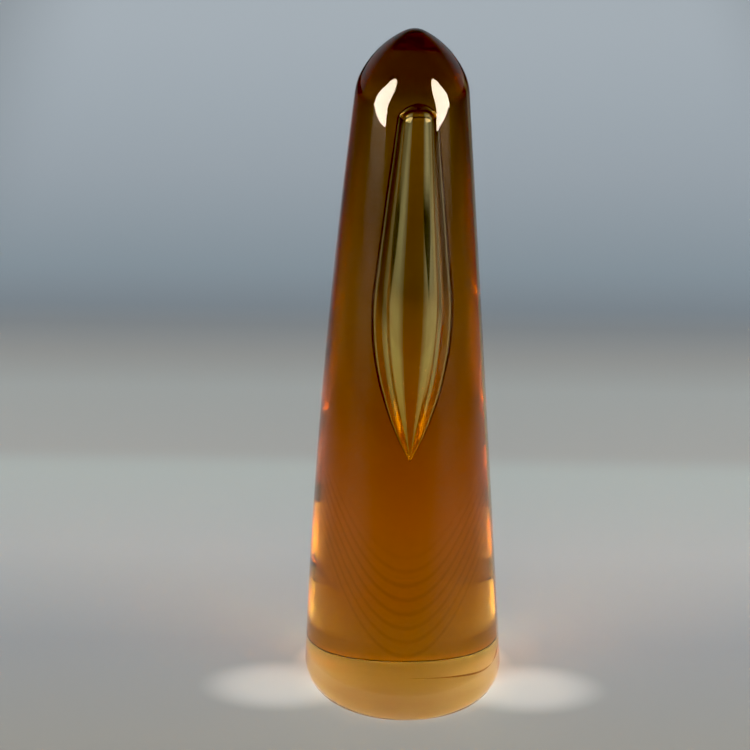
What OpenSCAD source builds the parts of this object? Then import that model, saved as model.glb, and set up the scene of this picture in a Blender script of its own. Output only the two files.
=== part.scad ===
// Solid glass obelisk ornament: an amber core that holds one sealed air bubble, cased in paler
// glass. Both layers are turned about Z. Z = 0 is the ground face that the ornament stands on.
// All sizes are in millimetres.

/* [Outer form] */
// Height from the ground face to the tip of the dome
height = 200; // [170:1:240]
// Diameter of the flat ground face
base_d = 52.8; // [50:0.1:55]
// Largest diameter, just above the rounded heel
heel_d = 57.8; // [57:0.1:62]
// Height of the rounded heel
heel_h = 7; // [5:0.5:9]
// Diameter at the shoulder, where the side meets the dome
shoulder_d = 31.5; // [30:0.1:33]
// Height of the dome above the shoulder
dome_h = 18; // [17:0.1:19]
// How far the side swells outwards from a straight taper, at mid height
side_swell = 0.93; // [0.5:0.01:1.5]

/* [Dome] */
// Radius that rounds the shoulder
shoulder_round = 16; // [14:0.5:18]
// Steepness where the shoulder round meets the dome's flank, in degrees
flank_start = 27; // [25:1:29]
// Steepness where the dome's flank meets the rounded tip, in degrees
flank_end = 61; // [58:1:63]

/* [Glass layers] */
// Thickness of the paler casing over the core
casing_t = 3; // [2:0.1:3.5]
// Thickness of casing glass under the core
floor_t = 4.5; // [3:0.1:8]
// Radius that rounds the lower edge of the core
core_heel_r = 12; // [8:0.5:16]

/* [Bubble] */
// Length of the bubble from its pointed lower end to its blunt upper end
bubble_len = 105.3; // [90:0.1:115]
// Height of the bubble's widest ring above its lower end
bubble_belly = 44; // [35:1:50]
// Depth of the bubble's upper end below the tip of the dome
bubble_depth = 20.7; // [18:0.1:30]
// Largest diameter of the bubble
bubble_d = 15; // [10:0.1:17]
// Lean of the bubble's straight upper wall towards its axis, in degrees
bubble_taper = 4; // [3:0.1:5]
// Sideways offset of the bubble from the axis of the glass
bubble_shift = 1.3; // [0:0.1:2]

/* [Hidden] */

// Steps around the axis, along the long slow curves, and along the tight ones
turn_fn = 144;
long_steps = 14;
round_steps = 9;

// Unit vector at an angle above the horizontal, in the half section (x = radius, y = height)
function ray(angle) = [cos(angle), sin(angle)];

// Points along an arc, without its first point, which is the end of the stretch before it
function arc(centre, r, from, to, steps) =
    [for (i = [1:steps]) centre + r * ray(from + (to - from) * i / steps)];

// Side: one arc from the top of the heel to the shoulder, and how steep it is at its two ends,
// as the angle of its normal above the horizontal
heel_pt = [heel_d / 2, heel_h];
shoulder_pt = [shoulder_d / 2, height - dome_h];
chord = norm(shoulder_pt - heel_pt);
lean = atan2(heel_pt.x - shoulder_pt.x, shoulder_pt.y - heel_pt.y);
side_r = (chord * chord / 4 + side_swell * side_swell) / (2 * side_swell);
side_c = (heel_pt + shoulder_pt) / 2 - (side_r - side_swell) * ray(lean);
side_start = lean - asin(chord / 2 / side_r);
side_end = lean + asin(chord / 2 / side_r);

// Heel: runs on from the side and ends at the rim of the ground face
heel_step = [base_d / 2, 0] - heel_pt;
heel_r = -(heel_step * heel_step) / (2 * heel_step * ray(side_start));
heel_c = heel_pt - heel_r * ray(side_start);
heel_start = atan2(-heel_c.y, base_d / 2 - heel_c.x);

// Dome: shoulder round, flank and tip run on from each other. The radii of the flank and the tip
// solve two equations: together they cover the radius and the height that the round leaves
shoulder_c = shoulder_pt - shoulder_round * ray(side_end);
flank_pt = shoulder_c + shoulder_round * ray(flank_start);
left_r = flank_pt.x;
left_z = height - flank_pt.y;
flank_turn = ray(flank_start) - ray(flank_end);
tip_turn = ray(flank_end) - [0, 1];
dome_det = flank_turn.y * tip_turn.x - flank_turn.x * tip_turn.y;
flank_r = -(left_r * tip_turn.y + left_z * tip_turn.x) / dome_det;
tip_r = (left_r * flank_turn.y + left_z * flank_turn.x) / dome_det;
flank_c = flank_pt - flank_r * ray(flank_start);
tip_c = [0, height - tip_r];

// Heel of the core: a round that touches the core's side and its flat floor
core_side_r = side_r - casing_t;
core_heel_z = floor_t + core_heel_r;
core_start = asin((core_heel_z - side_c.y) / (core_side_r - core_heel_r));
core_heel_c = side_c + (core_side_r - core_heel_r) * ray(core_start);

// Bubble: a long arc from the point to the taper, a straight wall, and a round cap
bubble_r = bubble_d / 2;
bubble_top = height - bubble_depth;
bubble_low = bubble_top - bubble_len;
belly_r = (bubble_r * bubble_r + bubble_belly * bubble_belly) / (2 * bubble_r);
belly_c = [bubble_r - belly_r, bubble_low + bubble_belly];
belly_end = belly_c + belly_r * ray(bubble_taper);
cap_r = (belly_end * ray(bubble_taper) - bubble_top * sin(bubble_taper)) / (1 - sin(bubble_taper));
cap_c = [0, bubble_top - cap_r];

// Outline of the side and the dome from a given steepness up, set in from the outer surface
function side_and_dome(inset, from) = concat(
    arc(side_c, side_r - inset, from, side_end, long_steps),
    arc(shoulder_c, shoulder_round - inset, side_end, flank_start, round_steps),
    arc(flank_c, flank_r - inset, flank_start, flank_end, round_steps),
    arc(tip_c, tip_r - inset, flank_end, 90, round_steps));

// Half section of the whole ornament
module outer_section() {
    polygon(concat(
        [[0, 0], [base_d / 2, 0]],
        arc(heel_c, heel_r, heel_start, side_start, round_steps),
        side_and_dome(0, side_start)));
}

// Half section of the core
module core_section() {
    polygon(concat(
        [[0, floor_t], [core_heel_c.x, floor_t]],
        arc(core_heel_c, core_heel_r, -90, core_start, round_steps),
        side_and_dome(casing_t, core_start)));
}

// Half section of the bubble about its own axis
module bubble_section() {
    polygon(concat(
        [[0, bubble_low]],
        arc(belly_c, belly_r, -asin(bubble_belly / belly_r), bubble_taper, long_steps),
        [cap_c + cap_r * ray(bubble_taper)],
        arc(cap_c, cap_r, bubble_taper, 90, round_steps)));
}

module outer_casing() {
    color([0.86, 0.80, 0.66, 0.35])
        rotate_extrude($fn = turn_fn)
            difference() {
                outer_section();
                core_section();
            }
}

module amber_core() {
    color([0.62, 0.36, 0.06, 0.8])
        difference() {
            rotate_extrude($fn = turn_fn) core_section();
            translate([bubble_shift, 0, 0])
                rotate_extrude($fn = turn_fn) bubble_section();
        }
}

outer_casing();
amber_core();
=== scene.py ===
"""Looks of a solid glass obelisk: pale lustred casing, amber core, one sealed spindle bubble."""
from math import asin, atan2, cos, degrees, pi, radians, sin

import bmesh
import bpy
from mathutils import Matrix, Vector


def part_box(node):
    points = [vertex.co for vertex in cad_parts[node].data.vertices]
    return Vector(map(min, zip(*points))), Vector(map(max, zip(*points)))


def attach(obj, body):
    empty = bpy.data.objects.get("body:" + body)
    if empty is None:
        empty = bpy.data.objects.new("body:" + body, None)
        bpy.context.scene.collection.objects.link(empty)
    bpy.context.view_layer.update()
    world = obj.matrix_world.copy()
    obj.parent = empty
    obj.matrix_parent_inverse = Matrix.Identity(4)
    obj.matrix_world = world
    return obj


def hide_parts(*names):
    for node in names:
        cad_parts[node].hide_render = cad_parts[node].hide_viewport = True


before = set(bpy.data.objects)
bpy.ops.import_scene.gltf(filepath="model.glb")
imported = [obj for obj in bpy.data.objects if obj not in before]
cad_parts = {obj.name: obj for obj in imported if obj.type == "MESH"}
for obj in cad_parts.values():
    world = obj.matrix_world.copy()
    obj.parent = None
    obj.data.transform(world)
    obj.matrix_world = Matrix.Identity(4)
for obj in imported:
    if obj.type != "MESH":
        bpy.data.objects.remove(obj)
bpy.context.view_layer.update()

# ---------------------------------------------------------------- sizes, in metres

MM = 0.001
casing_low, casing_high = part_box("outer_casing")
core_low, core_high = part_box("amber_core")

HEIGHT = casing_high.z
HEEL_R = casing_high.x
HEEL_H = 7 * MM
BASE_R = 26.4 * MM
SHOULDER_R = 15.75 * MM
SHOULDER_ROUND = 16 * MM
DOME_H = 18 * MM
SIDE_SWELL = 0.93 * MM
FLANK_START = 27
FLANK_END = 61
FLOOR_T = core_low.z
CASING_T = HEIGHT - core_high.z
CORE_HEEL_R = 12 * MM
ARRIS = 0.5 * MM

BUBBLE_R = 7.5 * MM
BUBBLE_LEN = 105.3 * MM
BUBBLE_BELLY = 44 * MM
BUBBLE_DEPTH = 20.7 * MM
BUBBLE_TAPER = 4
BUBBLE_SHIFT = 1.3 * MM

# The glass was marvered a little out of true: its middle lies this far towards -X.
BOW = 1.2 * MM

# Faces that meet at more than CRISP degrees keep a crisp corner between them, and only those at
# the rim of the ground face meet at more than RIM degrees.
CRISP = 15
RIM = 30

TURN_STEPS = 224
LONG_STEPS = 40
ROUND_STEPS = 12
FLAT_STEPS = 6
WELD = 0.002 * MM


# ---------------------------------------------------------------- drawing a half section

def ray(angle):
    """Unit vector at an angle in degrees above the horizontal, in the half section."""
    return Vector((cos(radians(angle)), 0, sin(radians(angle))))


def circle_through(low, high, swell):
    """Radius and centre of the arc that stands swell proud of the chord from low to high."""
    chord = (high - low).length
    lean = degrees(atan2(low.x - high.x, high.z - low.z))
    radius = (chord * chord / 4 + swell * swell) / (2 * swell)
    centre = (low + high) / 2 - (radius - swell) * ray(lean)
    half_turn = degrees(asin(chord / 2 / radius))
    return radius, centre, lean - half_turn, lean + half_turn


class Section:
    """A half section drawn in the XZ plane, one stretch after another."""

    def __init__(self, start):
        self.bm = bmesh.new()
        self.pen = self.bm.verts.new(start)

    def line(self, end, steps=1):
        """A straight stretch to end, in equal steps."""
        start = self.pen.co.copy()
        for step in range(1, steps + 1):
            vert = self.bm.verts.new(start.lerp(end, step / steps))
            self.bm.edges.new((self.pen, vert))
            self.pen = vert
        return self

    def arc(self, centre, turn, steps):
        """Swings the pen about centre by turn degrees, from +X towards +Z."""
        swung = bmesh.ops.spin(
            self.bm, geom=[self.pen], cent=centre, axis=(0, -1, 0), angle=radians(turn), steps=steps)
        self.pen = next(item for item in swung["geom_last"] if isinstance(item, bmesh.types.BMVert))
        return self

    def turned(self, steps):
        """Turns the section about Z into a closed skin and returns its bmesh."""
        bmesh.ops.spin(
            self.bm, geom=self.bm.verts[:] + self.bm.edges[:], cent=(0, 0, 0), axis=(0, 0, 1),
            angle=2 * pi, steps=steps, use_merge=True)
        bmesh.ops.remove_doubles(self.bm, verts=self.bm.verts, dist=WELD)
        bmesh.ops.recalc_face_normals(self.bm, faces=self.bm.faces)
        return self.bm


# The side, the heel and the dome run on from each other without a corner.
heel_pt = Vector((HEEL_R, 0, HEEL_H))
shoulder_pt = Vector((SHOULDER_R, 0, HEIGHT - DOME_H))
side_r, side_c, side_start, side_end = circle_through(heel_pt, shoulder_pt, SIDE_SWELL)

heel_step = Vector((BASE_R, 0, 0)) - heel_pt
heel_r = -heel_step.dot(heel_step) / (2 * heel_step.dot(ray(side_start)))
heel_c = heel_pt - heel_r * ray(side_start)
heel_start = degrees(atan2(-heel_c.z, BASE_R - heel_c.x))

shoulder_c = shoulder_pt - SHOULDER_ROUND * ray(side_end)
flank_pt = shoulder_c + SHOULDER_ROUND * ray(FLANK_START)
flank_turn = ray(FLANK_START) - ray(FLANK_END)
tip_turn = ray(FLANK_END) - Vector((0, 0, 1))
left_z = HEIGHT - flank_pt.z
dome_det = flank_turn.z * tip_turn.x - flank_turn.x * tip_turn.z
flank_r = -(flank_pt.x * tip_turn.z + left_z * tip_turn.x) / dome_det
tip_r = (flank_pt.x * flank_turn.z + left_z * flank_turn.x) / dome_det
flank_c = flank_pt - flank_r * ray(FLANK_START)
tip_c = Vector((0, 0, HEIGHT - tip_r))


def draw_side_and_dome(section, start):
    """The side from steepness start, then the shoulder, flank and tip of the dome."""
    section.arc(side_c, side_end - start, LONG_STEPS)
    section.arc(shoulder_c, FLANK_START - side_end, ROUND_STEPS)
    section.arc(flank_c, FLANK_END - FLANK_START, ROUND_STEPS)
    section.arc(tip_c, 90 - FLANK_END, ROUND_STEPS)


def bow(bm):
    """Leans the middle of the glass by BOW, and leaves its base and its tip in place."""
    for vert in bm.verts:
        up = vert.co.z / HEIGHT
        vert.co.x -= 4 * BOW * up * (1 - up)


def make_piece(name, bm, material):
    """Links a finished mesh as a piece with smooth faces, kept crisp at real corners."""
    crisp = radians(CRISP)
    for face in bm.faces:
        face.smooth = True
    for edge in bm.edges:
        edge.smooth = edge.calc_face_angle(0) < crisp
    mesh = bpy.data.meshes.new(name)
    bm.to_mesh(mesh)
    bm.free()
    mesh.materials.append(material)
    piece = bpy.data.objects.new(name, mesh)
    bpy.context.scene.collection.objects.link(piece)
    return piece


def casing_skin():
    """Outer skin of the glass, from the ground base to the tip."""
    section = Section((0, 0, 0))
    section.line(Vector((BASE_R, 0, 0)), FLAT_STEPS)
    section.arc(heel_c, side_start - heel_start, ROUND_STEPS)
    draw_side_and_dome(section, side_start)
    bm = section.turned(TURN_STEPS)
    rim = [e for e in bm.edges if e.calc_face_angle(0) > radians(RIM)]
    bmesh.ops.bevel(
        bm, geom=rim, offset=ARRIS, segments=1, profile=0.5, affect="EDGES", material=-1)
    bow(bm)
    return bm


def bubble_skin():
    """Wall of the bubble, facing its hollow: a pointed belly, a straight taper and a round cap."""
    top = HEIGHT - BUBBLE_DEPTH
    low = Vector((0, 0, top - BUBBLE_LEN))
    belly_r = (BUBBLE_R ** 2 + BUBBLE_BELLY ** 2) / (2 * BUBBLE_R)
    belly_c = Vector((BUBBLE_R - belly_r, 0, low.z + BUBBLE_BELLY))
    belly_end = belly_c + belly_r * ray(BUBBLE_TAPER)
    slope = sin(radians(BUBBLE_TAPER))
    cap_r = (belly_end.dot(ray(BUBBLE_TAPER)) - top * slope) / (1 - slope)
    cap_c = Vector((0, 0, top - cap_r))
    section = Section(low)
    section.arc(belly_c, BUBBLE_TAPER + degrees(asin(BUBBLE_BELLY / belly_r)), LONG_STEPS)
    section.line(cap_c + cap_r * ray(BUBBLE_TAPER), LONG_STEPS // 2)
    section.arc(cap_c, 90 - BUBBLE_TAPER, ROUND_STEPS)
    bm = section.turned(TURN_STEPS // 2)
    bmesh.ops.reverse_faces(bm, faces=bm.faces)
    bmesh.ops.translate(bm, verts=bm.verts, vec=(BUBBLE_SHIFT, 0, 0))
    return bm


def core_skin():
    """Skin of the amber core and, in the same mesh, the bubble's wall, marked as such."""
    core_side_r = side_r - CASING_T
    heel_z = FLOOR_T + CORE_HEEL_R
    start = degrees(asin((heel_z - side_c.z) / (core_side_r - CORE_HEEL_R)))
    heel = side_c + (core_side_r - CORE_HEEL_R) * ray(start)
    section = Section((0, 0, FLOOR_T))
    section.line(Vector((heel.x, 0, FLOOR_T)), FLAT_STEPS)
    section.arc(heel, 90 + start, ROUND_STEPS)
    draw_side_and_dome(section, start)
    bm = section.turned(TURN_STEPS)
    wall = bm.verts.layers.float.new("bubble_wall")
    bubble = bubble_skin()
    bubble_mesh = bpy.data.meshes.new("bubble")
    bubble.to_mesh(bubble_mesh)
    bubble.free()
    glass_verts = len(bm.verts)
    bm.from_mesh(bubble_mesh)
    bpy.data.meshes.remove(bubble_mesh)
    bm.verts.ensure_lookup_table()
    for vert in bm.verts[glass_verts:]:
        vert[wall] = 1
    bow(bm)
    return bm


# ---------------------------------------------------------------- how a finish is written

class Reading:
    """What a node gives. Where that is a number, sums on it add Math nodes."""

    def __init__(self, finish, socket):
        self.finish = finish
        self.socket = socket

    def maths(self, operation, first, second):
        return self.finish.node("Math", {"operation": operation}, {0: first, 1: second})

    def __add__(self, other):
        return self.maths("ADD", self, other)

    __radd__ = __add__

    def __mul__(self, other):
        return self.maths("MULTIPLY", self, other)

    __rmul__ = __mul__

    def __sub__(self, other):
        return self.maths("SUBTRACT", self, other)

    def __rsub__(self, other):
        return self.maths("SUBTRACT", other, self)


class Finish:
    """A material, or the room's air, and its nodes."""

    def __init__(self, owner, output="ShaderNodeOutputMaterial"):
        self.owner = owner
        owner.use_nodes = True
        self.tree = owner.node_tree
        self.tree.nodes.clear()
        self.output = self.tree.nodes.new(output)

    def node(self, kind, settings, inputs, output=0):
        """Adds a node, sets it up, feeds its sockets and reads one of its outputs."""
        made = self.tree.nodes.new("ShaderNode" + kind)
        for name, value in settings.items():
            if name == "stops":
                self.set_stops(made.color_ramp.elements, value)
            else:
                setattr(made, name, value)
        for key, value in inputs.items():
            self.feed(made.inputs[key], value)
        return Reading(self, made.outputs[output])

    def feed(self, socket, value):
        """Links a reading to a socket, or sets the socket's own value."""
        if isinstance(value, Reading):
            self.tree.links.new(value.socket, socket)
        else:
            socket.default_value = value

    def set_stops(self, elements, stops):
        """Puts a ramp's stops at their places, in their colours."""
        while len(elements) < len(stops):
            elements.new(0.5)
        for element, (place, colour) in zip(elements, stops):
            element.position = place
            element.color = colour

    def place(self):
        """Where a point lies on the piece."""
        return self.node("TexCoord", {}, {}, "Object")

    def axis(self, place, letter):
        """X, Y or Z of a place."""
        return self.node("SeparateXYZ", {}, {0: place}, letter)

    def noise(self, scale, detail, roughness, stretch):
        """Noise on the piece's own coordinates, with about scale lumps in a metre."""
        drawn = self.node("Mapping", {}, {"Vector": self.place(), "Scale": stretch})
        return self.node(
            "TexNoise", {}, {"Vector": drawn, "Scale": scale, "Detail": detail, "Roughness": roughness})

    def ramp(self, share, stops):
        """Colour at a share from 0 to 1 of the way along some stops."""
        return self.node("ValToRGB", {"stops": stops}, {0: share})

    def share(self, value, low, high):
        """How far value has come on its way from low to high, from 0 to 1."""
        return self.node("MapRange", {}, {0: value, 1: low, 2: high})

    def smooth(self, value, low, high, start, end):
        """Eases from start to end as value goes from low to high."""
        return self.node(
            "MapRange", {"interpolation_type": "SMOOTHSTEP"}, {0: value, 1: low, 2: high, 3: start, 4: end})

    def blend(self, share, first, second, kind="MIX"):
        """Colour between first and second, or first multiplied by second."""
        return self.node(
            "Mix", {"data_type": "RGBA", "blend_type": kind}, {0: share, 6: first, 7: second}, 2)

    def vectors(self, operation, inputs, output=0):
        """A sum on places."""
        return self.node("VectorMath", {"operation": operation}, inputs, output)

    def unevenness(self, strength, ripple):
        """Normal of a skin with ripples a millimetre deep, felt at some strength."""
        return self.node("Bump", {}, {"Strength": strength, "Distance": MM, "Height": ripple})

    def glass(self, sockets):
        """Shader that lets all light through, with the sockets that are given."""
        return self.node("BsdfPrincipled", {}, {"Transmission Weight": 1.0, **sockets})

    def dye(self, depth, colour):
        """Glass colour that deepens with the way light goes through it."""
        return self.node("VolumeAbsorption", {}, {"Density": depth, "Color": colour})

    def close(self, surface, volume=None):
        """Joins the surface, and the volume if there is one, to the output."""
        self.tree.links.new(surface.socket, self.output.inputs["Surface"])
        if volume:
            self.tree.links.new(volume.socket, self.output.inputs["Volume"])
        return self.owner


# ---------------------------------------------------------------- finish of the casing

# Refractive index where glass meets air, and where glass meets glass
BENDING = 1.5
UNBENT = 1.0
CLEAR = (1, 1, 1, 1)

# Lustre fumed on the outside in soft clouds, and the fine ripples under it
FILM_CLOUDS = 28
FILM_TONES = [
    (0.30, (1.0, 0.93, 0.80, 1)), (0.50, (1.0, 0.88, 0.84, 1)), (0.70, (0.95, 0.95, 0.80, 1))]
SHEEN = (1.0, 0.82, 0.72, 1)
CASING_RIPPLES = 60
CASING_RIPPLE_STRENGTH = 0.15
CASING_DYE_DEPTH = 30.0
CASING_DYE = (0.87, 0.76, 0.40, 1)

# Where the amber flash lies, from the front (0) to the back (1)
BARE = (0, 0, 0, 1)
FLASHED = (1, 1, 1, 1)
FLASH_PLACES = [
    (0.35, BARE), (0.50, FLASHED), (0.72, FLASHED), (0.79, BARE), (0.93, BARE), (0.975, FLASHED)]
# Colour of the flash, from the ground face (0) to the tip (1)
AMBER_TONES = [
    (0.0, (0.88, 0.30, 0.015, 1)), (0.10, (0.90, 0.17, 0.010, 1)), (0.22, (0.85, 0.11, 0.006, 1)),
    (0.30, (0.58, 0.065, 0.002, 1)), (0.40, (0.33, 0.045, 0.001, 1)), (0.55, (0.20, 0.05, 0.001, 1)),
    (0.70, (0.125, 0.030, 0.001, 1)), (1.0, (0.18, 0.05, 0.001, 1))]

# Ground face, up to the height that its dull grinding reaches
GROUND_TOP = 0.2 * MM
GROUND_DULLNESS = 0.35
GROUND_AMBER = (0.45, 0.13, 0.008, 1)

# Darker brown in the dome
DOME_DARK_LOW = 176 * MM
DOME_DARK_HIGH = 191 * MM
DOME_DARK_BROWN = (0.12, 0.08, 0.045, 1)

# Painted image of the floor's grain as the glass bends it: loops that hang across the front,
# and rise from their middle by sag times x squared
GRAIN_IMAGE_PITCH = 4.4 * MM
GRAIN_IMAGE_SAG = 56.0
GRAIN_IMAGE_WANDER = 2.5
GRAIN_IMAGE_CREST = 0.2
GRAIN_IMAGE_DEPTH = 0.30
GRAIN_IMAGE_FRONT = 10 * MM
GRAIN_IMAGE_LOW = 17 * MM
GRAIN_IMAGE_LOW_FADE = 5 * MM
GRAIN_IMAGE_HIGH = 40 * MM
GRAIN_IMAGE_HIGH_FADE = 20 * MM
GRAIN_IMAGE_BROWN = (0.30, 0.12, 0.03, 1)


def amber_flash(finish, place, height):
    """Amber on the two sides and in a strip at the back, deepest above the middle."""
    level = finish.vectors("MULTIPLY", {0: place, 1: (1, 1, 0)})
    rearward = finish.axis(finish.vectors("NORMALIZE", {0: level}), "Y")
    covered = finish.ramp(finish.share(rearward, -1.0, 1.0), FLASH_PLACES)
    amber = finish.ramp(finish.share(height, 0.0, HEIGHT), AMBER_TONES)
    return finish.blend(covered, CLEAR, amber)


def dome_darkening(finish, height):
    """Darker brown that comes in just below the dome and fills it."""
    return finish.blend(finish.smooth(height, DOME_DARK_LOW, DOME_DARK_HIGH, 0.0, 1.0), CLEAR, DOME_DARK_BROWN)


def grain_image_share(finish, place, height, clouds):
    """How much of the painted image of the floor's grain shows at a place."""
    across = finish.axis(place, "X")
    inward = finish.axis(place, "Y")
    hang = height - GRAIN_IMAGE_SAG * across * across
    waves = height.maths("SINE", hang * (2 * pi / GRAIN_IMAGE_PITCH) + GRAIN_IMAGE_WANDER * clouds, 0.0)
    share = finish.smooth(waves, GRAIN_IMAGE_CREST, 1.0, 0.0, GRAIN_IMAGE_DEPTH)
    share = share * finish.smooth(inward, -GRAIN_IMAGE_FRONT, 0.0, 1.0, 0.0)
    share = share * finish.smooth(hang, GRAIN_IMAGE_LOW, GRAIN_IMAGE_LOW + GRAIN_IMAGE_LOW_FADE, 0.0, 1.0)
    return share * finish.smooth(hang, GRAIN_IMAGE_HIGH, GRAIN_IMAGE_HIGH + GRAIN_IMAGE_HIGH_FADE, 1.0, 0.0)


def lustred_casing():
    """Pale straw glass with a lustre, an amber flash, a darker dome, a painted image of the floor's grain
    and a ground face.
    """
    finish = Finish(bpy.data.materials.new("lustred_casing_glass"))
    place = finish.place()
    height = finish.axis(place, "Z")
    clouds = finish.noise(FILM_CLOUDS, 3, 0.55, (1, 1, 0.45))
    film = finish.ramp(clouds, FILM_TONES)
    tint = finish.blend(1.0, film, amber_flash(finish, place, height), "MULTIPLY")
    tint = finish.blend(1.0, tint, dome_darkening(finish, height), "MULTIPLY")
    # Painted image of the floor's grain, bent by the glass, on the front only
    tint = finish.blend(grain_image_share(finish, place, height, clouds), tint, GRAIN_IMAGE_BROWN)
    ground = height.maths("LESS_THAN", height, GROUND_TOP)
    tint = finish.blend(ground, tint, GROUND_AMBER)
    ripple = finish.noise(CASING_RIPPLES, 2, 0.5, (1, 1, 0.25))
    glass = finish.glass({
        "Base Color": tint, "Roughness": ground * GROUND_DULLNESS, "IOR": BENDING,
        "Specular Tint": SHEEN, "Normal": finish.unevenness(CASING_RIPPLE_STRENGTH, ripple)})
    return finish.close(glass, finish.dye(CASING_DYE_DEPTH, CASING_DYE))


# ---------------------------------------------------------------- finish of the core

CORE_DYE_DEPTH = 40.0
CORE_DYE = (0.86, 0.76, 0.12, 1)
BUBBLE_RIPPLES = 160
BUBBLE_RIPPLE_STRENGTH = 0.05

# Two painted dark streaks, standing for dark reflections in the bubble's front wall, at equal turns to the
# left and the right of a middle that is skewed a little, pointed below and wider above
STREAK_LOW = 122 * MM
STREAK_HIGH = 150 * MM
STREAK_RISE = 5 * MM
STREAK_FADE = 14 * MM
STREAK_TURN = 34
STREAK_SKEW = 3
STREAK_WIDTH = 8
STREAK_EDGE = 1
STREAK_WANDER = 0.05
PAINTED_REFLECTION_BLACK = (0.004, 0.005, 0.004, 1)

# Painted dark outline of the bubble, standing for the shade at its edge:
# how far its wall is turned away where the rim starts and where it is full
RIM_START = 0.55
RIM_FULL = 0.70
BUBBLE_OUTLINE_SHADE = (0.22, 0.05, 0.005, 1)


def painted_streak_share(finish, ripple):
    """How much of a painted dark streak shows at a place on the bubble's wall."""
    place = finish.place()
    across = finish.axis(place, "X") - (BUBBLE_SHIFT - BOW)
    inward = finish.axis(place, "Y")
    height = finish.axis(place, "Z")
    turn = across.maths("ARCTAN2", across, 0.0 - inward)
    turn = turn + radians(STREAK_SKEW) + STREAK_WANDER * ripple
    fold = turn.maths("PINGPONG", turn, radians(STREAK_TURN))
    width = finish.smooth(height, STREAK_LOW, STREAK_HIGH, 0.0, radians(STREAK_WIDTH))
    edge_start = radians(STREAK_TURN - STREAK_EDGE)
    edge_end = radians(STREAK_TURN + STREAK_EDGE)
    share = finish.smooth(fold + width, edge_start, edge_end, 0.0, 1.0)
    share = share * finish.smooth(height, STREAK_LOW, STREAK_LOW + STREAK_RISE, 0.0, 1.0)
    share = share * finish.smooth(height, STREAK_HIGH, STREAK_HIGH + STREAK_FADE, 1.0, 0.0)
    return share * finish.smooth(inward, -MM, MM, 1.0, 0.0)


def bubble_wall(finish):
    """Wall of the bubble, with its painted dark streaks, and a painted dark outline where it is seen edge
    on.
    """
    ripple = finish.noise(BUBBLE_RIPPLES, 2, 0.5, (1, 1, 0.1))
    # Painted dark streaks, standing for dark reflections in the bubble's wall
    tone = finish.blend(painted_streak_share(finish, ripple), CLEAR, PAINTED_REFLECTION_BLACK)
    wall = finish.glass({
        "Base Color": tone, "Roughness": 0.0, "IOR": BENDING,
        "Normal": finish.unevenness(BUBBLE_RIPPLE_STRENGTH, ripple)})
    # Painted shade: dark outline where the bubble's wall is seen edge on
    rim = finish.glass({"Base Color": BUBBLE_OUTLINE_SHADE, "Roughness": 0.0, "IOR": UNBENT})
    turned_away = finish.node("LayerWeight", {}, {"Blend": 0.5}, "Facing")
    rim_share = finish.smooth(turned_away, RIM_START, RIM_FULL, 0.0, 1.0)
    return finish.node("MixShader", {}, {0: rim_share, 1: wall, 2: rim})


def amber_with_bubble():
    """Deep amber glass. Its side is one with the casing, and only the bubble's wall bends light."""
    finish = Finish(bpy.data.materials.new("amber_core_glass"))
    on_bubble = finish.node("Attribute", {"attribute_name": "bubble_wall"}, {}, "Fac")
    side = finish.glass({"Base Color": CLEAR, "Roughness": 0.0, "IOR": UNBENT})
    glass = finish.node("MixShader", {}, {0: on_bubble, 1: side, 2: bubble_wall(finish)})
    return finish.close(glass, finish.dye(CORE_DYE_DEPTH, CORE_DYE))


# ---------------------------------------------------------------- the two pieces

casing = make_piece("lustred_casing", casing_skin(), lustred_casing())
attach(casing, "root")
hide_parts("outer_casing")

core = make_piece("amber_core_with_bubble", core_skin(), amber_with_bubble())
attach(core, "root")
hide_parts("amber_core")

# Light goes straight through the glass to the floor, so neither piece throws a shadow.
casing.visible_shadow = False
core.visible_shadow = False


# ---------------------------------------------------------------- floor

FLOOR_HALF = 4.0
FLOOR_Z = -0.05 * MM

# Tones of the paint by how far behind the middle of the glass they lie, with painted shade:
# dark in front of the glass, and a far stretch painted as a wall, shaded at its foot and paler higher up
PAINT_FRONT = -0.40
PAINT_BACK = 0.80
FLOOR_TONES_WITH_SHADE = [
    (-0.220, (0.05, 0.05, 0.05)), (-0.040, (0.13, 0.14, 0.15)), (0.020, (0.13, 0.15, 0.18)),
    (0.080, (0.19, 0.215, 0.25)), (0.142, (0.20, 0.24, 0.27)), (0.155, (0.18, 0.20, 0.225)),
    (0.210, (0.18, 0.21, 0.24)), (0.240, (0.155, 0.175, 0.20)), (0.270, (0.12, 0.145, 0.18)),
    (0.290, (0.115, 0.15, 0.20)), (0.330, (0.145, 0.195, 0.26)), (0.450, (0.23, 0.29, 0.38)),
    (0.660, (0.355, 0.445, 0.58)), (0.800, (0.43, 0.54, 0.70))]

# Painted shade: the paint darkens away from a middle behind the glass, and towards its two sides
PAINTED_SHADE = (0.01, 0.01, 0.01, 1)
PAINT_MIDDLE = (0, 0.35, 0)
PALE_REACH = 0.50
DARK_REACH = 0.95
SIDE_PALE = 0.15
SIDE_DARK = 0.30
SIDE_DARKNESS = 0.75

# Painted light: paler patches beside the base, where the glass throws its light
LOBE_AT = 37 * MM
LOBE_INWARD = -7 * MM
LOBE_REACH = 20 * MM
LOBE_ACROSS = 0.8
LOBE_ALONG = 1.25
THROWN_LIGHT_TONE = (0.23, 0.25, 0.275, 1)

# Painted light: a glow right behind the base, where the glass gathers light
GLOW_BEHIND = 16 * MM
GLOW_FULL = BASE_R + 3 * MM
GLOW_END = BASE_R + 9 * MM
NO_GLOW = (0, 0, 0, 1)
GATHERED_LIGHT = (0.14, 0.11, 0.08, 1)


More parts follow.
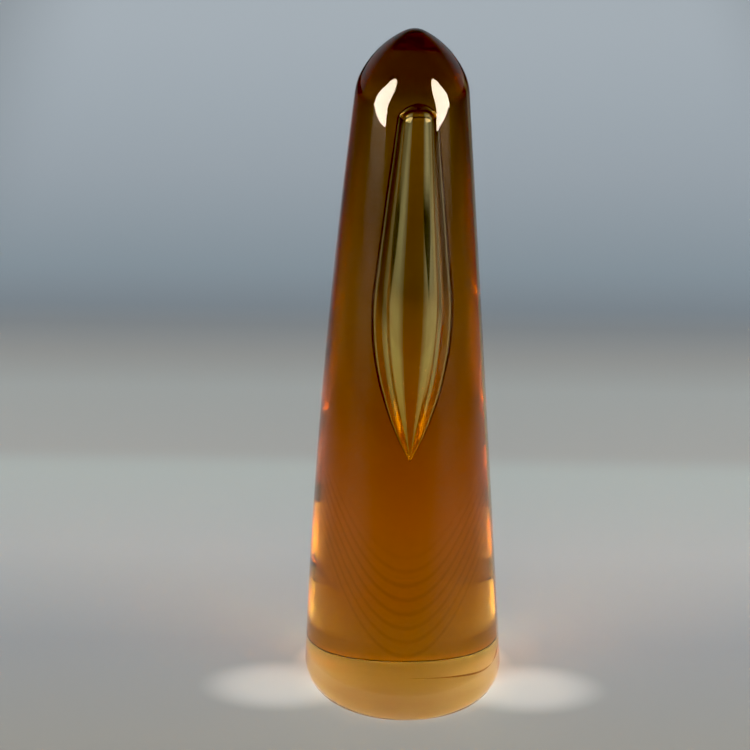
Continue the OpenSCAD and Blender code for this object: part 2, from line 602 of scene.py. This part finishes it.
def floor_tone_with_shade(finish, place, aside, inward):
    """Tone of the paint, with painted shade in front, far off and towards the two sides."""
    reach = PAINT_BACK - PAINT_FRONT
    stops = [((along - PAINT_FRONT) / reach, (*colour, 1)) for along, colour in FLOOR_TONES_WITH_SHADE]
    tone = finish.ramp(finish.share(inward, PAINT_FRONT, PAINT_BACK), stops)
    away = finish.vectors("DISTANCE", {0: place, 1: PAINT_MIDDLE}, "Value")
    tone = finish.blend(finish.smooth(away, PALE_REACH, DARK_REACH, 0.0, 1.0), tone, PAINTED_SHADE)
    to_side = finish.smooth(aside, SIDE_PALE, SIDE_DARK, 0.0, SIDE_DARKNESS)
    return finish.blend(to_side, tone, PAINTED_SHADE)


def thrown_light_share(finish, aside, inward):
    """How much of a patch of painted light shows at a place."""
    out_from = LOBE_ACROSS * (aside - LOBE_AT)
    back_from = LOBE_ALONG * (inward - LOBE_INWARD)
    squared = out_from * out_from + back_from * back_from
    return finish.smooth(squared, 0.0, LOBE_REACH ** 2, 1.0, 0.0)


def gathered_glow(finish, place, inward):
    """Painted glow of light that hugs the back of the base."""
    radius = finish.vectors("LENGTH", {0: place}, "Value")
    behind = finish.smooth(inward, 0.0, GLOW_BEHIND, 0.0, 1.0)
    share = behind * finish.smooth(radius, GLOW_FULL, GLOW_END, 1.0, 0.0)
    return finish.blend(share, NO_GLOW, GATHERED_LIGHT)


def floor_paint():
    """Matt pale paint with painted shade, and painted light where the glass throws it."""
    finish = Finish(bpy.data.materials.new("floor_paint"))
    place = finish.place()
    inward = finish.axis(place, "Y")
    aside = finish.axis(finish.vectors("ABSOLUTE", {0: place}), "X")
    tone = floor_tone_with_shade(finish, place, aside, inward)
    # Painted light beside the base
    tone = finish.blend(thrown_light_share(finish, aside, inward), tone, THROWN_LIGHT_TONE)
    # The emission is painted light, gathered behind the base
    paint = finish.node("BsdfPrincipled", {}, {
        "Base Color": tone, "Roughness": 0.8, "Specular IOR Level": 0.2,
        "Emission Color": gathered_glow(finish, place, inward), "Emission Strength": 1.0})
    return finish.close(paint)


floor_sheet = bmesh.new()
bmesh.ops.create_grid(floor_sheet, x_segments=1, y_segments=1, size=FLOOR_HALF)
bmesh.ops.translate(floor_sheet, verts=floor_sheet.verts, vec=(0, 0, FLOOR_Z))
make_piece("pale_floor", floor_sheet, floor_paint())


# ---------------------------------------------------------------- light

WINDOW_GLOW = 28
WINDOW_TONE = (1.0, 0.94, 0.83)
WINDOW_AIM = Vector((0, 0, 0.8 * HEIGHT))

ROOM_TONE = (0.20, 0.144, 0.084, 1)
WALL_TONE = (0.34, 0.38, 0.40, 1)
# How far a direction points inwards where the wall comes in, and upwards where it ends
WALL_INWARD = (0.2, 0.8)
WALL_UPWARD = (0.3, 0.7)


def window(name, azimuth, elevation, distance, width, height, lean):
    """A soft light at an azimuth round the glass (0 in front, 90 on the right)."""
    data = bpy.data.lights.new(name, "AREA")
    data.shape = "ELLIPSE"
    data.size = width
    data.size_y = height
    data.energy = WINDOW_GLOW * pi * pi / 4 * width * height
    data.color = WINDOW_TONE
    lamp = bpy.data.objects.new(name, data)
    a = radians(azimuth)
    e = radians(elevation)
    lamp.location = WINDOW_AIM + distance * Vector((sin(a) * cos(e), -cos(a) * cos(e), sin(e)))
    upright = (lamp.location - WINDOW_AIM).to_track_quat("Z", "Y").to_matrix()
    lamp.rotation_euler = (upright @ Matrix.Rotation(radians(lean), 3, "Z")).to_euler()
    lamp.visible_camera = False
    bpy.context.scene.collection.objects.link(lamp)


def room_air():
    """A dim warm room, with a pale wall low down behind the glass."""
    finish = Finish(bpy.data.worlds.new("dim_room"), "ShaderNodeOutputWorld")
    way = finish.node("TexCoord", {}, {}, "Generated")
    inward = finish.smooth(finish.axis(way, "Y"), *WALL_INWARD, 0.0, 1.0)
    low = finish.smooth(finish.axis(way, "Z"), *WALL_UPWARD, 1.0, 0.0)
    tone = finish.blend(inward * low, ROOM_TONE, WALL_TONE)
    return finish.close(finish.node("Background", {}, {"Color": tone, "Strength": 1.0}))


window("window_left", -62, 3, 1.25, 0.66, 2.2, -18)
window("window_right", 60, 3, 1.02, 0.54, 1.62, 13)
bpy.context.scene.world = room_air()


# ---------------------------------------------------------------- camera

CAMERA_AIM = Vector((-9.5 * MM, 0, 97.8 * MM))
CAMERA_DISTANCE = 0.797
CAMERA_PITCH = 23.7
CAMERA_ROLL = 0.79

camera_data = bpy.data.cameras.new("camera")
camera_data.lens = 134.4
camera_data.sensor_width = 36
camera_data.clip_start = 0.01
camera = bpy.data.objects.new("camera", camera_data)
towards_camera = Vector((0, -cos(radians(CAMERA_PITCH)), sin(radians(CAMERA_PITCH))))
camera.matrix_world = (
    Matrix.Translation(CAMERA_AIM + CAMERA_DISTANCE * towards_camera)
    @ Matrix.Rotation(radians(90 - CAMERA_PITCH), 4, "X")
    @ Matrix.Rotation(radians(CAMERA_ROLL), 4, "Z"))
bpy.context.scene.collection.objects.link(camera)
bpy.context.scene.camera = camera


# ---------------------------------------------------------------- view

# Black point of the view, which takes the haze off the dark glass
HAZE = 0.010
scene = bpy.context.scene
scene.view_settings.view_transform = "Standard"
scene.view_settings.use_curve_mapping = True
scene.view_settings.curve_mapping.black_level = (HAZE, HAZE, HAZE)
scene.view_settings.curve_mapping.update()
# Light crosses many walls of glass before it leaves.
scene.cycles.max_bounces = 32
scene.cycles.transmission_bounces = 28
scene.cycles.glossy_bounces = 16
